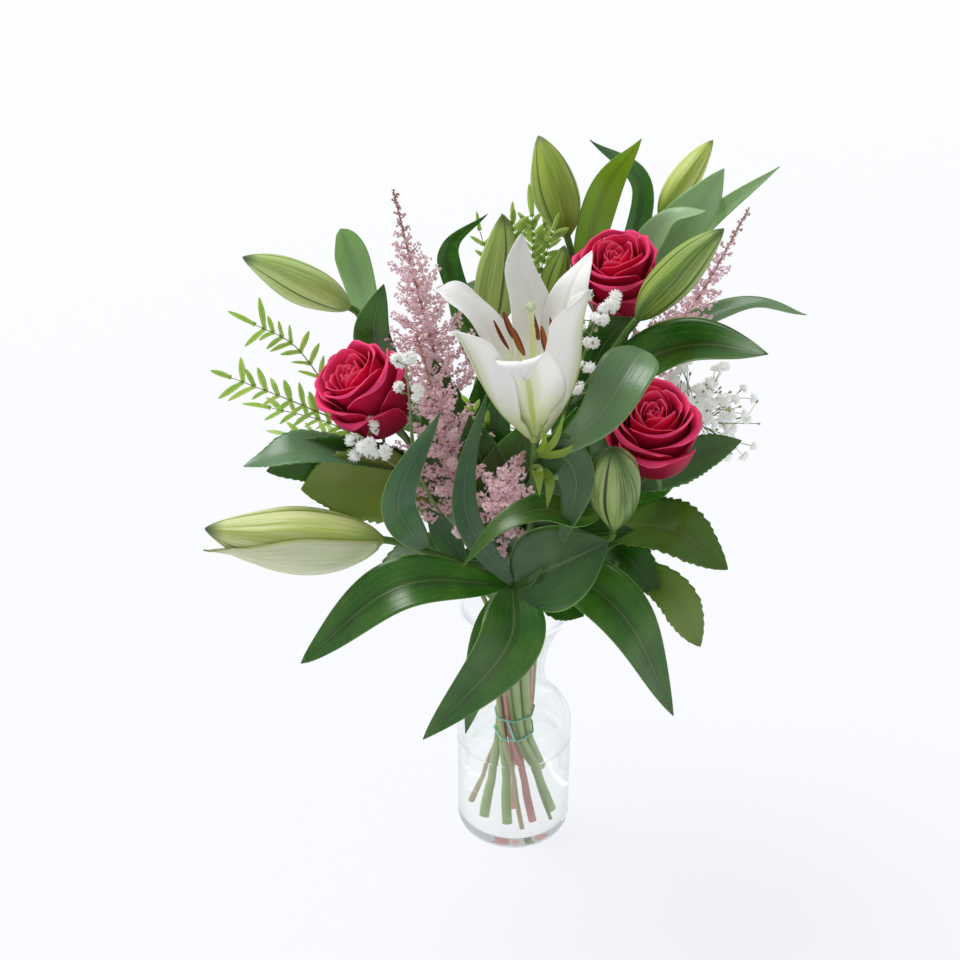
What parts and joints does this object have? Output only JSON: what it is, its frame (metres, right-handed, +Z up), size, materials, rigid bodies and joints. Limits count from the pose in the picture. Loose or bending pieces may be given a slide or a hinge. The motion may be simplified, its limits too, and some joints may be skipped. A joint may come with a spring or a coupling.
{
  "type": "mixed flower bouquet",
  "caption": "Hand-tied mixed bouquet of white lily, lily buds, red roses, pink astilbe, gypsophila and green leaves, standing in a clear glass bottle vase with water.",
  "frame": {"origin": "centre of the vase's flat foot, on the surface that it stands on", "axes": "+Z up along the vase's axis; -Y towards the side shown in the picture, +X to its right"},
  "size_m": [0.4136, 0.3218, 0.5384],
  "materials": {
    "glass": "polished",
    "water": "polished",
    "tie_cord": "matte",
    "lily_leaf": "satin",
    "lily_bud": "satin",
    "lily_bud_pale": "satin",
    "lily_petal": "satin",
    "lily_stamen": "matte",
    "rose_leaf": "satin",
    "rose_petal": "matte",
    "thin_stem": "satin",
    "astilbe_floret": "matte",
    "gypsophila": "matte",
    "pistacia": "satin"
  },
  "bodies": {
    "root": {"vase": "glass", "water": "water", "stem_tie": "tie_cord", "lily_front": "lily_leaf", "lily_centre": "lily_leaf", "lily_left": "lily_leaf", "lily_back": "lily_leaf", "lily_right": "lily_leaf", "bud_far_left": "lily_bud", "bud_front_left": "lily_bud_pale", "bud_top": "lily_bud", "bud_behind_lily": "lily_bud", "bud_right": "lily_bud", "bud_front": "lily_bud", "bud_back_right": "lily_bud", "bud_small": "lily_bud", "lily_bloom": "lily_petal", "lily_stamens": "lily_stamen", "rose_left": "rose_leaf", "rose_left_bloom": "rose_petal", "rose_back": "rose_leaf", "rose_back_bloom": "rose_petal", "rose_right": "rose_leaf", "rose_right_bloom": "rose_petal", "astilbe_left": "thin_stem", "astilbe_left_plume": "astilbe_floret", "astilbe_front": "thin_stem", "astilbe_front_plume": "astilbe_floret", "astilbe_right": "thin_stem", "astilbe_right_plume": "astilbe_floret", "astilbe_centre": "thin_stem", "astilbe_centre_plume": "astilbe_floret", "gypsophila_right": "gypsophila", "gypsophila_centre": "gypsophila", "gypsophila_left": "gypsophila", "pistacia_left": "pistacia", "pistacia_back": "pistacia"}
  },
  "joints": []
}
